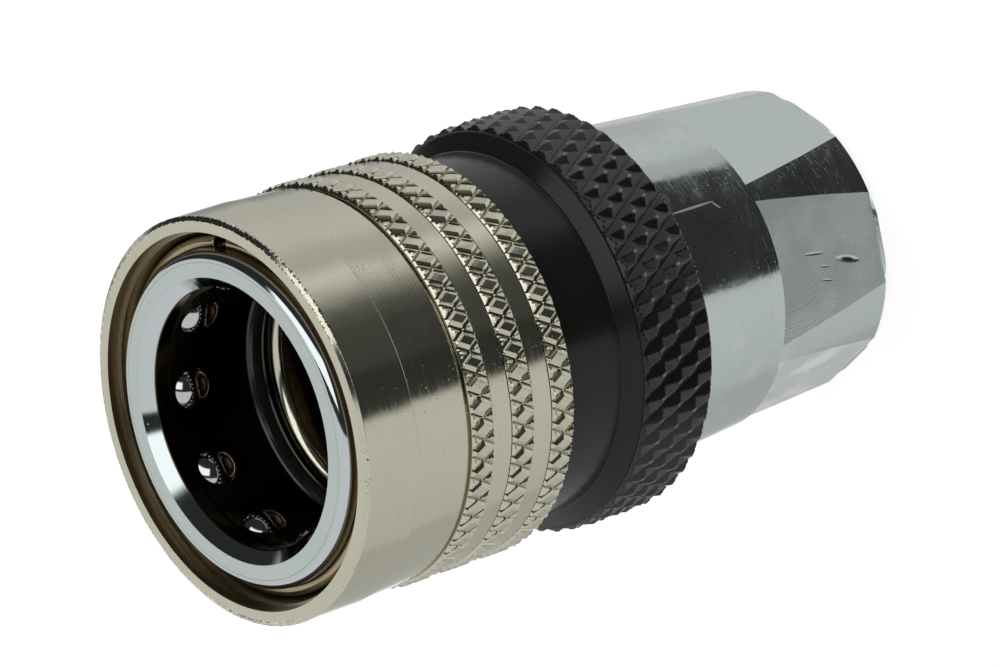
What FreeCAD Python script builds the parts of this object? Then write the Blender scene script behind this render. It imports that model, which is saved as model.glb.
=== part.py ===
import FreeCAD, Part
import math
import os

import Sketcher

# Socket half of a ball-lock hydraulic quick coupler with a screw lock ring.
# The coupler stands on its port face. +Z runs along the axis to the mouth and
# the origin is the centre of the port face. All lengths are in millimetres.

SIZES = [
    # Whole coupler: the rear body up to its shoulder, and all that stands in front of it
    ("shoulder_z", 30.0),
    ("front_length", 36.9),
    ("thread_fit", 0.05),
    ("running_fit", 0.08),
    ("slack", 0.03),
    # Depth of the turned wall under a knurl's grooves, and of the knurl's foot in that wall
    ("knurl_bed", 0.12),
    ("knurl_foot", 0.3),
    # Plug bore and ball cage of the socket
    ("face_recess", 0.2),
    ("bore_r", 11.95),
    ("guide_bore_step", 0.17),
    ("lead_in", 1.1),
    ("cage_wall", 3.45),
    ("cage_edge", 0.65),
    ("cage_length", 19.7),
    ("seal_room_depth", 11.2),
    ("seal_room_step", 2.05),
    ("screw_step", 0.5),
    # Lock balls
    ("ball_d", 4.76),
    ("ball_count", 10),
    ("ball_phase", 10),
    ("ball_depth", 5.3),
    ("ball_hole_gap", 0.06),
    ("ball_free", 0.04),
    # Wire ring that stops the sleeve
    ("stop_wire_d", 1.4),
    ("stop_depth", 2.4),
    ("stop_gap", 0.05),
    ("stop_ring_gap_angle", 6),
    ("stop_ring_turn", 358),
    # Pull sleeve
    ("sleeve_length", 24.06),
    ("sleeve_wall", 1.3),
    ("sleeve_stroke", 4.0),
    ("spring_room", 1.9),
    ("lip_step", 0.11),
    ("lip_recess", 1.3),
    ("lip_edge_width", 0.42),
    ("lip_edge_height", 0.22),
    ("front_band_length", 5.8),
    ("smooth_length", 11.95),
    ("smooth_fall", 0.5),
    ("land_behind_ball", 3.7),
    ("knurl_rise", 0.1),
    ("knurl_depth", 0.5),
    ("knurl_teeth", 58),
    ("knurl_rows", 2),
    ("knurl_gap", 0.05),
    ("polished_width", 1.9),
    ("polished_fall", 0.25),
    # Sleeve spring and its washer
    ("washer_thickness", 1.0),
    ("washer_gap", 0.3),
    ("sleeve_spring_wire", 1.3),
    ("sleeve_spring_pitch", 2.8),
    # Lock ring
    ("skirt_length", 3.5),
    ("barrel_length", 8.35),
    ("ring_wall", 3.3),
    ("ring_knurl_depth", 0.63),
    ("ring_knurl_teeth", 52),
    ("ring_knurl_rows", 4),
    ("ring_knurl_bevel", 0.35),
    ("ring_nose_length", 1.05),
    ("collar_gap", 0.4),
    ("collar_room", 3.1),
    ("collar_bore_gap", 0.25),
    ("screw_length", 7.5),
    ("skirt_gap", 0.36),
    ("ring_travel", 2.8),
    # Rubber ring inside the lock ring
    ("gasket_wire", 1.6),
    ("gasket_offset", 2.6),
    # Rear body
    ("flats_length", 14.2),
    ("flat_depth", 1.6),
    ("shoulder_wall", 1.1),
    ("cone_slope", 0.0693),
    ("rear_edge", 0.5),
    ("port_r", 9.316),
    ("port_length", 15.0),
    ("port_mouth_r", 10.9),
    ("chamber_wall", 4.9),
    ("front_chamber_wall", 3.1),
    # Valve seat in the rear body
    ("seat_depth", 23.6),
    ("seat_step", 1.7),
    ("seat_land", 1.1),
    # Bore seal and its retainer
    ("bore_seal_wire", 2.6),
    ("retainer_step", 1.4),
    ("retainer_length", 1.4),
    # Seal between the two bodies
    ("body_seal_wire", 1.6),
    ("body_seal_offset", 7.5),
    # Poppet
    ("poppet_clearance", 0.55),
    ("poppet_flange", 1.9),
    ("poppet_nose_clearance", 0.5),
    ("poppet_nose_length", 5.0),
    ("poppet_edge", 0.5),
    ("poppet_gap", 0.2),
    ("poppet_travel", 6.0),
    ("poppet_seal_wire", 1.8),
    ("poppet_seal_step", 0.8),
    ("poppet_seal_gap", 0.04),
    ("stem_r", 2.5),
    ("stem_past_clip", 2.2),
    # Guide of the stem, its circlip and the valve spring
    ("clip_past_port", 3.8),
    ("clip_thickness", 1.1),
    ("clip_groove_depth", 0.8),
    ("clip_width", 1.5),
    ("clip_turn", 310),
    ("guide_thickness", 3.0),
    ("guide_rim_width", 1.3),
    ("guide_hub_r", 4.2),
    ("guide_hub_length", 6.0),
    ("guide_leg_width", 2.0),
    ("guide_leg_count", 3),
    ("valve_spring_wire", 1.3),
    ("valve_spring_gap", 1.15),
    ("valve_spring_pitch", 2.6),
]

PLACES = [
    ("overall_length", "shoulder_z + front_length"),
    ("face_z", "overall_length - face_recess"),
    ("sleeve_rear_z", "overall_length - sleeve_length"),
    # Radii of the socket, wall by wall outwards from the plug bore
    ("guide_bore_r", "bore_r - guide_bore_step"),
    ("core_r", "bore_r + seal_room_step"),
    ("cage_r", "bore_r + cage_wall"),
    ("screw_r", "cage_r + screw_step"),
    ("sleeve_bore_r", "cage_r + spring_room"),
    ("sleeve_r", "sleeve_bore_r + sleeve_wall"),
    ("lip_bore_r", "sleeve_bore_r - lip_step"),
    ("smooth_rear_r", "sleeve_r - smooth_fall"),
    ("polished_r", "sleeve_r - polished_fall"),
    ("knurl_r", "sleeve_r + knurl_rise"),
    # Balls under the land of the sleeve, and the ramp that lets them out
    ("ball_r", "ball_d / 2"),
    ("ball_z", "overall_length - ball_depth"),
    ("land_r", "cage_r + running_fit"),
    ("ball_centre_r", "land_r - slack - ball_r"),
    ("ball_travel", "bore_r - ball_centre_r + ball_r + ball_free"),
    ("ramp_slope", "ball_travel / sleeve_stroke"),
    ("ramp_secant", "sqrt(1 + ramp_slope * ramp_slope)"),
    ("ramp_z", "ball_z - (ball_r + slack) * (ramp_secant - 1) / ramp_slope"),
    ("land_rear_z", "ball_z - land_behind_ball"),
    ("lip_floor_z", "overall_length - lip_recess"),
    ("ramp_end_r", "land_r + (lip_floor_z - ramp_z) * ramp_slope"),
    ("guide_front_z", "ball_z + ball_r + ball_hole_gap + 2 * slack"),
    # Wire ring in its groove, up against the ramp
    ("stop_wire_r", "stop_wire_d / 2"),
    ("stop_z", "overall_length - stop_depth"),
    ("stop_ramp_r", "land_r + (stop_z - ramp_z) * ramp_slope"),
    ("stop_ring_r", "stop_ramp_r - (stop_wire_r + stop_gap) * ramp_secant"),
    ("stop_groove_r", "stop_ring_r - stop_wire_r - slack"),
    # Seal room of the socket
    ("seal_room_z", "face_z - seal_room_depth"),
    ("bore_seal_r", "core_r - slack - bore_seal_wire / 2"),
    ("bore_seal_z", "seal_room_z - slack - bore_seal_wire / 2"),
    ("retainer_r", "bore_r - retainer_step"),
    ("retainer_front_z", "seal_room_z - 2 * slack - bore_seal_wire"),
    ("retainer_rear_z", "retainer_front_z - retainer_length"),
    # Step of the cage, washer and sleeve spring
    ("cage_step_z", "face_z - cage_length"),
    ("washer_r", "sleeve_bore_r - washer_gap"),
    ("spring_seat_z", "cage_step_z + washer_thickness"),
    ("sleeve_spring_r", "(cage_r + sleeve_bore_r) / 2"),
    ("sleeve_spring_turns", "round(2 * (land_rear_z - spring_seat_z) / sleeve_spring_pitch) / 2"),
    # Three knurled bands of the sleeve with two polished ones between them
    ("smooth_z", "overall_length - smooth_length"),
    ("knurl_width", "(smooth_z - sleeve_rear_z - 2 * polished_width) / 3"),
    ("knurl_bed_r", "knurl_r - knurl_depth - knurl_bed"),
    # Rear body
    ("cone_r", "core_r + shoulder_wall"),
    ("shoulder_r", "cone_r + (shoulder_z - flats_length) * cone_slope"),
    ("rear_r", "cone_r - flats_length * cone_slope"),
    ("flat_r", "cone_r - flat_depth"),
    ("spigot_r", "core_r - thread_fit"),
    ("chamber_r", "core_r - chamber_wall"),
    ("front_chamber_r", "core_r - front_chamber_wall"),
    ("seat_rear", "face_z - seat_depth"),
    ("seat_r", "chamber_r - seat_step"),
    ("seat_front", "seat_rear + chamber_r - seat_r"),
    ("front_chamber_z", "seat_front + seat_land"),
    ("body_seal_z", "shoulder_z + body_seal_offset"),
    ("body_seal_r", "core_r - slack - body_seal_wire / 2"),
    ("body_seal_groove_r", "body_seal_r - body_seal_wire / 2 - slack"),
    ("body_seal_half", "body_seal_wire / 2 + running_fit"),
    # Lock ring
    ("ring_rear", "shoulder_z - skirt_length"),
    ("ring_front", "ring_rear + barrel_length"),
    ("ring_r", "screw_r + ring_wall"),
    ("barrel_r", "ring_r - ring_knurl_depth - knurl_bed"),
    ("ring_nose_z", "ring_front + ring_nose_length"),
    ("ring_seat_z", "shoulder_z + slack"),
    ("ring_bore_r", "screw_r + thread_fit"),
    ("skirt_r", "shoulder_r + skirt_gap"),
    ("collar_r", "sleeve_bore_r - collar_gap"),
    ("collar_bore_r", "screw_r + collar_bore_gap"),
    ("collar_tip", "cage_step_z - collar_room"),
    ("screw_end_z", "ring_seat_z + screw_length"),
    ("gasket_z", "ring_seat_z + gasket_offset"),
    ("gasket_r", "screw_r + slack + gasket_wire / 2"),
    ("gasket_groove_r", "gasket_r + gasket_wire / 2 + slack"),
    ("gasket_half", "gasket_wire / 2 + slack"),
    # Poppet on its seat; the seat cone lies at 45 degrees
    ("poppet_r", "chamber_r - poppet_clearance"),
    ("poppet_nose_r", "seat_r - poppet_nose_clearance"),
    ("poppet_nose", "seat_rear + poppet_nose_length"),
    ("seat_sum", "seat_rear + chamber_r"),
    ("poppet_sum", "seat_sum - poppet_gap * sqrt(2)"),
    ("poppet_seal_r", "poppet_nose_r + poppet_seal_step"),
    ("poppet_seal_half", "poppet_seal_wire / 2 + slack"),
    ("poppet_seal_z", "seat_sum - (poppet_seal_wire / 2 + poppet_seal_gap) * sqrt(2) - poppet_seal_r"),
    ("poppet_groove_r", "poppet_seal_r - poppet_seal_half"),
    ("poppet_groove_rear", "poppet_seal_z - poppet_seal_half"),
    ("poppet_groove_front", "poppet_seal_z + poppet_seal_half"),
    ("poppet_rear_z", "poppet_groove_rear - poppet_flange"),
    # Guide on its circlip, and the valve spring round its hub
    ("clip_z", "port_length + clip_past_port"),
    ("clip_top_z", "clip_z + clip_thickness + 2 * slack"),
    ("clip_groove_r", "chamber_r + clip_groove_depth"),
    ("clip_outer_r", "clip_groove_r - running_fit"),
    ("guide_r", "chamber_r - running_fit"),
    ("guide_top_z", "clip_top_z + guide_thickness"),
    ("stem_end", "clip_z + stem_past_clip"),
    ("valve_spring_r", "guide_hub_r + valve_spring_gap + valve_spring_wire / 2"),
    ("valve_spring_turns", "round(2 * (poppet_rear_z - guide_top_z) / valve_spring_pitch) / 2"),
]

doc = FreeCAD.newDocument("quick_coupler")


alias_sheet = {}


def expression(text):
    """Spell a formula of bare aliases as a formula of sheet cells."""
    words = []
    word = ""
    for letter in text + " ":
        if letter.isalnum() or letter == "_":
            word += letter
            continue
        if word in alias_sheet:
            word = f"{alias_sheet[word]}.{word}"
        words.append(word + letter)
        word = ""
    return "".join(words).strip()


def fill_sheet(name, rows):
    sheet = doc.addObject("Spreadsheet::Sheet", name)
    for number, (alias, content) in enumerate(rows, start=1):
        cell = str(content)
        if isinstance(content, str):
            cell = f"={expression(content)}"
        sheet.set(f"A{number}", alias)
        sheet.set(f"B{number}", cell)
        sheet.setAlias(f"B{number}", alias)
    doc.recompute()
    alias_sheet.update({alias: name for alias, _ in rows})
    return sheet


sizes = fill_sheet("Sizes", SIZES)
places = fill_sheet("Places", PLACES)


def value(text):
    return float(places.evalExpression(expression(text)))


def plane(body, role):
    return next(feature for feature in body.Origin.OriginFeatures if feature.Role == role)


def sketch_on(body, name, role="XZ_Plane"):
    sketch = body.newObject("Sketcher::SketchObject", name)
    sketch.AttachmentSupport = (plane(body, role), [""])
    sketch.MapMode = "FlatFace"
    return sketch


def fix_point(sketch, line, end, across, up):
    """Tie one sketch point to two formulas; a bare 0 puts it on the axis."""
    for kind, text, axis in (("DistanceX", across, -2), ("DistanceY", up, -1)):
        if text == "0":
            sketch.addConstraint(Sketcher.Constraint("PointOnObject", line, end, axis))
            continue
        row = sketch.addConstraint(Sketcher.Constraint(kind, -1, 1, line, end, value(text)))
        sketch.setExpression(f"Constraints[{row}]", expression(text))


def outline(sketch, points):
    """Closed outline through (across, up) points given as formulas."""
    spots = [FreeCAD.Vector(value(across), value(up), 0) for across, up in points]
    count = len(spots)
    for index in range(count):
        sketch.addGeometry(Part.LineSegment(spots[index], spots[(index + 1) % count]), False)
    for index in range(count):
        follower = (index + 1) % count
        sketch.addConstraint(Sketcher.Constraint("Coincident", index, 2, follower, 1))
    for index, (across, up) in enumerate(points):
        fix_point(sketch, index, 1, across, up)


def turned(name, points, angle=None):
    """Body turned about Z from an outline of (radius, height) formulas."""
    body = doc.addObject("PartDesign::Body", name)
    body.Label = name
    sketch = sketch_on(body, f"{name}_profile")
    outline(sketch, points)
    turn = body.newObject("PartDesign::Revolution", f"{name}_turn")
    turn.Profile = sketch
    turn.ReferenceAxis = (sketch, ["V_Axis"])
    turn.Angle = 360
    if angle is not None:
        turn.setExpression("Angle", expression(angle))
    body.Tip = turn
    return body


def rubber_ring(name, centre_r, wire, height):
    """Ring of round section lying across the axis."""
    ring = doc.addObject("Part::Torus", name)
    ring.Label = name
    ring.setExpression("Radius1", expression(centre_r))
    ring.setExpression("Radius2", expression(f"{wire} / 2"))
    ring.setExpression("Placement.Base.z", expression(height))
    return ring


def coil_path(name, centre_r, turns, low, high):
    """Half turns, each one a tilted arc, that leave and enter level and so run on smoothly."""
    half_turns = round(value(turns) * 2)
    radius = value(centre_r)
    bottom = value(low)
    rise = (value(high) - bottom) / half_turns
    middle_radius = math.hypot(radius, rise / 2)
    arcs = []
    for number in range(half_turns):
        side = 1 if number % 2 == 0 else -1
        start = FreeCAD.Vector(side * radius, 0, bottom + number * rise)
        middle = FreeCAD.Vector(0, side * middle_radius, start.z + rise / 2)
        end = FreeCAD.Vector(-side * radius, 0, start.z + rise)
        arcs.append(Part.Arc(start, middle, end).toShape())
    path = doc.addObject("Part::Feature", f"{name}_path")
    path.Shape = Part.Wire(arcs)
    return path


def coil_spring(name, centre_r, wire, turns, low, high):
    """Compression spring of round wire with both ends ground flat."""
    wire_section = doc.addObject("Part::Circle", f"{name}_section")
    wire_section.setExpression("Radius", expression(f"{wire} / 2"))
    wire_section.Placement.Rotation = FreeCAD.Rotation(FreeCAD.Vector(1, 0, 0), 90)
    wire_section.setExpression("Placement.Base.x", expression(centre_r))
    wire_section.setExpression("Placement.Base.z", expression(low))
    coil = doc.addObject("Part::Sweep", f"{name}_coil")
    coil.Sections = [wire_section]
    coil.Spine = (coil_path(name, centre_r, turns, low, high), [])
    coil.Solid = True
    coil.Frenet = True
    envelope = doc.addObject("Part::Cylinder", f"{name}_envelope")
    envelope.setExpression("Radius", expression(f"{centre_r} + {wire}"))
    envelope.setExpression("Height", expression(f"{high} - {low}"))
    envelope.setExpression("Placement.Base.z", expression(low))
    spring = doc.addObject("Part::Common", name)
    spring.Label = name
    spring.Base = coil
    spring.Tool = envelope
    return spring


def knurl_band(name, teeth, tip_r, depth, low, high, rows, bevel):
    """Diamond knurl: a ring of pyramids between crossed V grooves, closed by a foot inside its wall."""
    columns = 2 * round(value(teeth))
    row_count = round(value(rows))
    tip = value(tip_r)
    root = value(f"{tip_r} - {depth}")
    foot = value(f"{tip_r} - {depth} - knurl_bed - knurl_foot")
    bottom = value(low)
    top = value(high)
    slope = value(bevel)
    pitch = (top - bottom - 2 * slope) / row_count
    rings = []
    for row in range(row_count + 1):
        radii = [tip if (column + row) % 2 else root for column in range(columns)]
        rings.append((bottom + slope + row * pitch, radii))
    if slope > 0:
        rings = [(bottom, [root] * columns), *rings, (top, [root] * columns)]

    def circle(height, radii):
        spots = []
        for column, radius in enumerate(radii):
            angle = 2 * math.pi * column / columns
            spots.append(FreeCAD.Vector(radius * math.cos(angle), radius * math.sin(angle), height))
        return spots

    def loop(spots):
        return Part.makePolygon([*spots, spots[0]])

    net = [circle(height, radii) for height, radii in rings]
    faces = []
    for row in range(len(net) - 1):
        lower, upper = net[row], net[row + 1]
        for column in range(columns):
            beside = (column + 1) % columns
            rising = rings[row][1][column] + rings[row + 1][1][beside]
            falling = rings[row][1][beside] + rings[row + 1][1][column]
            corners = [lower[column], lower[beside], upper[beside], upper[column]]
            if falling < rising:
                corners = [corners[1], corners[2], corners[3], corners[0]]
            faces.append(Part.Face(loop(corners[:3])))
            faces.append(Part.Face(loop([corners[0], corners[2], corners[3]])))
    feet = [circle(bottom, [foot] * columns), circle(top, [foot] * columns)]
    for outer, inner in zip((net[0], net[-1]), feet):
        faces.append(Part.makeFace([loop(outer), loop(inner)], "Part::FaceMakerBullseye"))
    for column in range(columns):
        beside = (column + 1) % columns
        faces.append(Part.Face(loop([feet[0][column], feet[0][beside], feet[1][beside], feet[1][column]])))
    shell = Part.makeShell(faces)
    shell.sewShape()
    solid = Part.makeSolid(shell)
    if solid.Volume < 0:
        solid.reverse()
    band = doc.addObject("Part::Feature", name)
    band.Shape = solid
    return band


def united(name, shapes):
    fusion = doc.addObject("Part::MultiFuse", name)
    fusion.Label = name
    fusion.Shapes = shapes
    return fusion


# Rear body: taper, six wrench flats, port thread core, valve chamber and seat
rear_body = turned("rear_body", [
    ("port_mouth_r", "0"),
    ("rear_r - rear_edge", "0"),
    ("rear_r", "rear_edge"),
    ("shoulder_r", "shoulder_z"),
    ("spigot_r", "shoulder_z"),
    ("spigot_r", "body_seal_z - body_seal_half"),
    ("body_seal_groove_r", "body_seal_z - body_seal_half"),
    ("body_seal_groove_r", "body_seal_z + body_seal_half"),
    ("spigot_r", "body_seal_z + body_seal_half"),
    ("spigot_r", "retainer_rear_z"),
    ("front_chamber_r", "retainer_rear_z"),
    ("front_chamber_r", "front_chamber_z"),
    ("seat_r", "front_chamber_z"),
    ("seat_r", "seat_front"),
    ("chamber_r", "seat_rear"),
    ("chamber_r", "clip_top_z"),
    ("clip_groove_r", "clip_top_z"),
    ("clip_groove_r", "clip_z"),
    ("chamber_r", "clip_z"),
    ("chamber_r", "port_length"),
    ("port_r", "port_length"),
    ("port_r", "port_mouth_r - port_r"),
])
flat_sketch = sketch_on(rear_body, "flat_profile", "YZ_Plane")
outline(flat_sketch, [
    ("flat_r", "0"),
    ("cone_r * 2", "0"),
    ("cone_r * 2", "flats_length"),
    ("flat_r", "flats_length"),
])
flat_cut = rear_body.newObject("PartDesign::Pocket", "flat_cut")
flat_cut.Profile = flat_sketch
flat_cut.Midplane = True
flat_cut.setExpression("Length", expression("cone_r * 4"))
hexagon = rear_body.newObject("PartDesign::PolarPattern", "hexagon")
hexagon.Originals = [flat_cut]
hexagon.Axis = (plane(rear_body, "Z_Axis"), [""])
hexagon.Angle = 360
hexagon.Occurrences = 6
rear_body.Tip = hexagon

# Socket: plug bore, seal room, cage with its stop-ring groove and screw thread core
socket = turned("socket", [
    ("bore_r + lead_in", "face_z"),
    ("cage_r - cage_edge", "face_z"),
    ("cage_r", "face_z - cage_edge"),
    ("cage_r", "stop_z + stop_wire_r + slack"),
    ("stop_groove_r", "stop_z + stop_wire_r + slack"),
    ("stop_groove_r", "stop_z - stop_wire_r - slack"),
    ("cage_r", "stop_z - stop_wire_r - slack"),
    ("cage_r", "cage_step_z"),
    ("screw_r", "cage_step_z"),
    ("screw_r", "shoulder_z"),
    ("core_r", "shoulder_z"),
    ("core_r", "seal_room_z"),
    ("guide_bore_r", "seal_room_z"),
    ("guide_bore_r", "guide_front_z"),
    ("bore_r", "guide_front_z"),
    ("bore_r", "face_z - lead_in"),
])
hole_sketch = sketch_on(socket, "ball_hole_profile")
hole_sketch.setExpression("AttachmentOffset.Base.y", expression("ball_z"))
hole_r = value("ball_r + ball_hole_gap")
seat_x = value("ball_centre_r")
open_x = value("cage_r + ball_r")
seat_arc = Part.ArcOfCircle(
    Part.Circle(FreeCAD.Vector(seat_x, 0, 0), FreeCAD.Vector(0, 0, 1), hole_r),
    math.pi / 2, math.pi)
hole_sketch.addGeometry(seat_arc, False)
hole_corners = [(seat_x, hole_r), (open_x, hole_r), (open_x, 0), (seat_x - hole_r, 0)]
for start, end in zip(hole_corners, hole_corners[1:]):
    hole_sketch.addGeometry(
        Part.LineSegment(FreeCAD.Vector(*start, 0), FreeCAD.Vector(*end, 0)), False)
for pair in ((0, 1, 1, 1), (1, 2, 2, 1), (2, 2, 3, 1), (3, 2, 0, 2)):
    hole_sketch.addConstraint(Sketcher.Constraint("Coincident", *pair))
hole_sketch.addConstraint(Sketcher.Constraint("Horizontal", 1))
hole_sketch.addConstraint(Sketcher.Constraint("Vertical", 2))
hole_sketch.addConstraint(Sketcher.Constraint("Vertical", 0, 3, 0, 1))
for spot in ((0, 3), (2, 2), (3, 2)):
    hole_sketch.addConstraint(Sketcher.Constraint("PointOnObject", *spot, -1))
for kind, entry, text in (("Radius", (0,), "ball_r + ball_hole_gap"),
                          ("DistanceX", (-1, 1, 0, 3), "ball_centre_r"),
                          ("DistanceX", (-1, 1, 2, 2), "cage_r + ball_r")):
    row = hole_sketch.addConstraint(Sketcher.Constraint(kind, *entry, value(text)))
    hole_sketch.setExpression(f"Constraints[{row}]", expression(text))
ball_hole = socket.newObject("PartDesign::Groove", "ball_hole")
ball_hole.Profile = hole_sketch
ball_hole.ReferenceAxis = (hole_sketch, ["H_Axis"])
ball_hole.Angle = 360
cage = socket.newObject("PartDesign::PolarPattern", "cage")
cage.Originals = [ball_hole]
cage.Axis = (plane(socket, "Z_Axis"), [""])
cage.Angle = 360
cage.setExpression("Occurrences", expression("ball_count"))
socket.Tip = cage
socket.setExpression("Placement.Rotation.Angle", expression("ball_phase"))

# Lock balls, one in each hole of the cage
balls = []
for number in range(int(value("ball_count"))):
    ball = doc.addObject("Part::Sphere", f"ball_{number + 1:02d}")
    ball.Label = ball.Name
    ball.setExpression("Radius", expression("ball_r"))
    turn = f"(ball_phase + {number} * 360 / ball_count)"
    ball.setExpression("Placement.Base.x", expression(f"ball_centre_r * cos({turn})"))
    ball.setExpression("Placement.Base.y", expression(f"ball_centre_r * sin({turn})"))
    ball.setExpression("Placement.Base.z", expression("ball_z"))
    balls.append(ball)

# Wire ring with its gap, in the groove in front of the balls
stop_ring = rubber_ring("stop_ring", "stop_ring_r", "stop_wire_d", "stop_z")
stop_ring.setExpression("Angle3", expression("360 - stop_ring_gap_angle"))
stop_ring.setExpression("Placement.Rotation.Angle", expression("stop_ring_turn"))

# Pull sleeve: lip, ramp and land inside, three bands for the knurls outside
sleeve_points = [
    ("lip_bore_r", "overall_length"),
    ("sleeve_r - lip_edge_width", "overall_length"),
    ("sleeve_r", "overall_length - lip_edge_height"),
    ("sleeve_r", "overall_length - front_band_length"),
    ("smooth_rear_r", "smooth_z"),
]
knurl_places = []
band_top = "smooth_z"
for band in range(3):
    band_low = f"smooth_z - knurl_width * {band + 1} - polished_width * {band}"
    sleeve_points += [("knurl_bed_r", band_top), ("knurl_bed_r", band_low)]
    knurl_places.append((f"{band_low} + knurl_gap", f"{band_top} - knurl_gap"))
    if band < 2:
        band_top = f"{band_low} - polished_width"
        sleeve_points += [("polished_r", band_low), ("polished_r", band_top)]
sleeve_points[-1] = ("knurl_bed_r", "sleeve_rear_z")
sleeve_blank = turned("sleeve_blank", sleeve_points + [
    ("sleeve_bore_r", "sleeve_rear_z"),
    ("sleeve_bore_r", "land_rear_z"),
    ("land_r", "land_rear_z"),
    ("land_r", "ramp_z"),
    ("ramp_end_r", "lip_floor_z"),
    ("lip_bore_r", "lip_floor_z"),
])
sleeve_knurls = [
    knurl_band(f"sleeve_knurl_{band + 1}", "knurl_teeth", "knurl_r", "knurl_depth", low, high, "knurl_rows", "0")
    for band, (low, high) in enumerate(knurl_places)
]
sleeve = united("sleeve", [sleeve_blank, *sleeve_knurls])

# Washer on the step of the cage, and the spring between it and the land
spring_washer = turned("spring_washer", [
    ("cage_r + running_fit", "cage_step_z"),
    ("washer_r", "cage_step_z"),
    ("washer_r", "spring_seat_z"),
    ("cage_r + running_fit", "spring_seat_z"),
])
sleeve_spring = coil_spring("sleeve_spring", "sleeve_spring_r", "sleeve_spring_wire",
                            "sleeve_spring_turns", "spring_seat_z", "land_rear_z")

# Lock ring: skirt over the shoulder, screw thread core, knurled barrel and collar
lock_ring_blank = turned("lock_ring_blank", [
    ("skirt_r", "ring_rear"),
    ("barrel_r", "ring_rear"),
    ("barrel_r", "ring_front"),
    ("collar_r", "ring_nose_z"),
    ("collar_r", "collar_tip"),
    ("collar_bore_r", "collar_tip"),
    ("collar_bore_r", "screw_end_z"),
    ("ring_bore_r", "screw_end_z"),
    ("ring_bore_r", "gasket_z + gasket_half"),
    ("gasket_groove_r", "gasket_z + gasket_half"),
    ("gasket_groove_r", "gasket_z - gasket_half"),
    ("ring_bore_r", "gasket_z - gasket_half"),
    ("ring_bore_r", "ring_seat_z"),
    ("skirt_r", "ring_seat_z"),
])
ring_knurl = knurl_band("ring_knurl", "ring_knurl_teeth", "ring_r", "ring_knurl_depth",
                        "ring_rear + knurl_gap", "ring_front - knurl_gap", "ring_knurl_rows", "ring_knurl_bevel")
lock_ring = united("lock_ring", [lock_ring_blank, ring_knurl])
ring_gasket = rubber_ring("ring_gasket", "gasket_r", "gasket_wire", "gasket_z")

# Seals and the retainer behind the bore seal
bore_seal = rubber_ring("bore_seal", "bore_seal_r", "bore_seal_wire", "bore_seal_z")
body_seal = rubber_ring("body_seal", "body_seal_r", "body_seal_wire", "body_seal_z")
seal_retainer = turned("seal_retainer", [
    ("retainer_r", "retainer_front_z"),
    ("core_r - slack", "retainer_front_z"),
    ("core_r - slack", "retainer_rear_z"),
    ("front_chamber_r", "retainer_rear_z"),
])

# Poppet: stem, flange, seal groove, cone and nose
poppet = turned("poppet", [
    ("0", "stem_end"),
    ("stem_r - poppet_edge", "stem_end"),
    ("stem_r", "stem_end + poppet_edge"),
    ("stem_r", "poppet_rear_z"),
    ("poppet_r", "poppet_rear_z"),
    ("poppet_r", "poppet_groove_rear"),
    ("poppet_groove_r", "poppet_groove_rear"),
    ("poppet_groove_r", "poppet_groove_front"),
    ("poppet_sum - poppet_groove_front", "poppet_groove_front"),
    ("poppet_nose_r", "poppet_sum - poppet_nose_r"),
    ("poppet_nose_r", "poppet_nose - poppet_edge"),
    ("poppet_nose_r - poppet_edge", "poppet_nose"),
    ("0", "poppet_nose"),
])
poppet_seal = rubber_ring("poppet_seal", "poppet_seal_r", "poppet_seal_wire", "poppet_seal_z")

# Circlip, and the three-legged guide that stands on it
guide_clip = turned("guide_clip", [
    ("clip_outer_r - clip_width", "clip_z + slack"),
    ("clip_outer_r", "clip_z + slack"),
    ("clip_outer_r", "clip_z + clip_thickness + slack"),
    ("clip_outer_r - clip_width", "clip_z + clip_thickness + slack"),
], "clip_turn")
valve_guide = turned("valve_guide", [
    ("guide_r - guide_rim_width", "clip_top_z"),
    ("guide_r", "clip_top_z"),
    ("guide_r", "guide_top_z"),
    ("guide_r - guide_rim_width", "guide_top_z"),
])
leg_sketch = sketch_on(valve_guide, "leg_profile")
outline(leg_sketch, [
    ("stem_r + running_fit", "clip_top_z"),
    ("guide_r - guide_rim_width / 2", "clip_top_z"),
    ("guide_r - guide_rim_width / 2", "guide_top_z"),
    ("stem_r + running_fit", "guide_top_z"),
])
leg = valve_guide.newObject("PartDesign::Pad", "leg")
leg.Profile = leg_sketch
leg.Midplane = True
leg.setExpression("Length", expression("guide_leg_width"))
legs = valve_guide.newObject("PartDesign::PolarPattern", "legs")
legs.Originals = [leg]
legs.Axis = (plane(valve_guide, "Z_Axis"), [""])
legs.Angle = 360
legs.setExpression("Occurrences", expression("guide_leg_count"))
valve_guide.Tip = legs
hub_sketch = sketch_on(valve_guide, "hub_profile")
outline(hub_sketch, [
    ("0", "clip_top_z"),
    ("guide_hub_r", "clip_top_z"),
    ("guide_hub_r", "clip_top_z + guide_hub_length"),
    ("0", "clip_top_z + guide_hub_length"),
])
hub = valve_guide.newObject("PartDesign::Revolution", "hub")
hub.Profile = hub_sketch
hub.ReferenceAxis = (hub_sketch, ["V_Axis"])
hub.Angle = 360
stem_sketch = sketch_on(valve_guide, "stem_hole_profile")
outline(stem_sketch, [
    ("0", "clip_top_z - guide_thickness"),
    ("stem_r + running_fit", "clip_top_z - guide_thickness"),
    ("stem_r + running_fit", "clip_top_z + guide_hub_length * 2"),
    ("0", "clip_top_z + guide_hub_length * 2"),
])
stem_hole = valve_guide.newObject("PartDesign::Groove", "stem_hole")
stem_hole.Profile = stem_sketch
stem_hole.ReferenceAxis = (stem_sketch, ["V_Axis"])
stem_hole.Angle = 360
valve_guide.Tip = stem_hole

valve_spring = coil_spring("valve_spring", "valve_spring_r", "valve_spring_wire",
                           "valve_spring_turns", "guide_top_z", "poppet_rear_z")

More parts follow.
